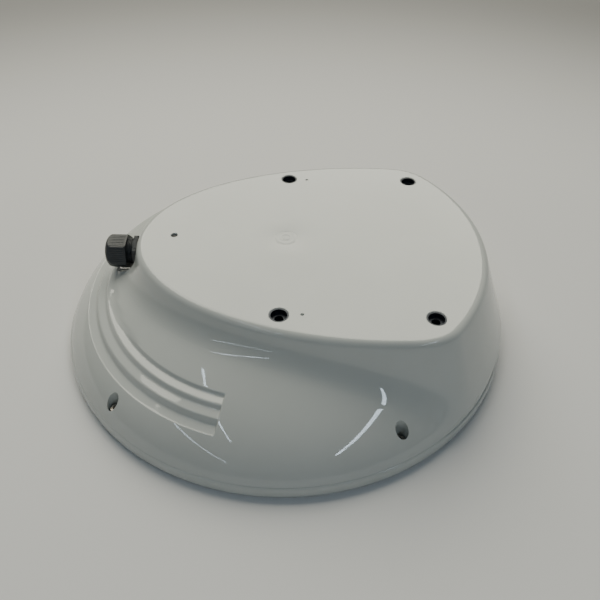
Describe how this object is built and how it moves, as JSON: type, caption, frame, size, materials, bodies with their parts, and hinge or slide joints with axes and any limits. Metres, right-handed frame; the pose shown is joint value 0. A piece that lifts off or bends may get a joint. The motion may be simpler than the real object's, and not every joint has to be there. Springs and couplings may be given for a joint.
{
  "type": "marine radar dome antenna",
  "caption": "Low round radar dome lying on its upper radome: tapered mounting plinth on top with threaded inserts, stepped aft shoulder, cable gland, and a geared turning antenna inside.",
  "frame": {"origin": "centre of the rim's circle, on the plane that the upper radome's crown lies on", "axes": "+Z out of the mounting face (down when installed), +X forward towards the wide end of the plinth, -X aft towards the cable gland"},
  "size_m": [0.4779, 0.478, 0.1035],
  "materials": {
    "casing_plastic": "satin, moulded, warm white",
    "radome_plastic": "smooth, warm white",
    "gland_plastic": "satin, black-grey moulded nylon",
    "seal_rubber": "matt black",
    "vent_plastic": "matt dark grey",
    "insert_black": "black passivated, threaded",
    "brass": "machined",
    "stainless": "plain",
    "bearing_steel": "ground",
    "cast_alloy": "as cast",
    "sheet_alloy": "plain sheet",
    "tinned_steel": "tinned",
    "motor_black": "satin black",
    "magnet": "nickel plated",
    "gear_acetal": "natural acetal",
    "board_green": "solder mask",
    "parts_black": "moulded component bodies",
    "terminal_green": "moulded",
    "coax_copper": "tinned copper tube",
    "foam_pink": "closed-cell foam",
    "window_plastic": "thin sheet"
  },
  "bodies": {
    "radome": {"upper_radome": "radome_plastic", "rim_gasket": "seal_rubber", "cover_inserts": "brass"},
    "casing": {"lower_casing": "casing_plastic", "mounting_inserts": "insert_black", "cover_screws": "stainless", "cover_screw_seals": "seal_rubber", "breather_vent": "vent_plastic", "gland_body": "gland_plastic", "gland_washer": "seal_rubber", "gland_locknut": "gland_plastic", "gland_seal": "seal_rubber", "gland_claw": "gland_plastic", "chassis_plate": "cast_alloy", "chassis_screws": "stainless", "bearing_housing": "cast_alloy", "housing_screws": "stainless", "lower_bearing": "bearing_steel", "upper_bearing": "bearing_steel", "rotary_joint": "brass", "rf_jumper": "coax_copper", "drive_motor": "motor_black", "motor_screws": "stainless", "power_board": "board_green", "power_parts": "parts_black", "terminal_block": "terminal_green", "transceiver_board": "board_green", "shield_can": "tinned_steel", "board_standoffs": "brass", "board_screws": "stainless", "position_sensor": "board_green"},
    "antenna": {"antenna_shaft": "bearing_steel", "shaft_circlip": "tinned_steel", "antenna_gear": "gear_acetal", "position_magnet": "magnet", "array_bracket": "sheet_alloy", "array_screws": "stainless", "array_reflector": "sheet_alloy", "array_core": "foam_pink", "array_board": "board_green", "array_window": "window_plastic", "array_end_caps": "vent_plastic", "feed_coax": "coax_copper"},
    "pinion": {"motor_shaft": "bearing_steel", "motor_pinion": "brass"},
    "gland_nut": {"gland_dome_nut": "gland_plastic"}
  },
  "joints": [
    {"name": "casing_lift", "type": "slide", "parent": "radome", "child": "casing", "axis": [0, 0, 1], "range_m": [0, 0.12]},
    {"name": "antenna_spin", "type": "hinge", "parent": "casing", "child": "antenna", "pos_m": [0, 0, 0.05], "axis": [0, 0, 1], "continuous": true},
    {"name": "pinion_spin", "type": "hinge", "parent": "casing", "child": "pinion", "pos_m": [0.06, 0, 0.05], "axis": [0, 0, 1], "continuous": true},
    {"name": "gland_nut_turn", "type": "hinge", "parent": "casing", "child": "gland_nut", "pos_m": [-0.18, 0, 0.081], "axis": [-1, 0, 0], "range_deg": [0, 360]}
  ],
  "couplings": [
    {"joint": "pinion_spin", "follows": "antenna_spin", "ratio": -4}
  ]
}
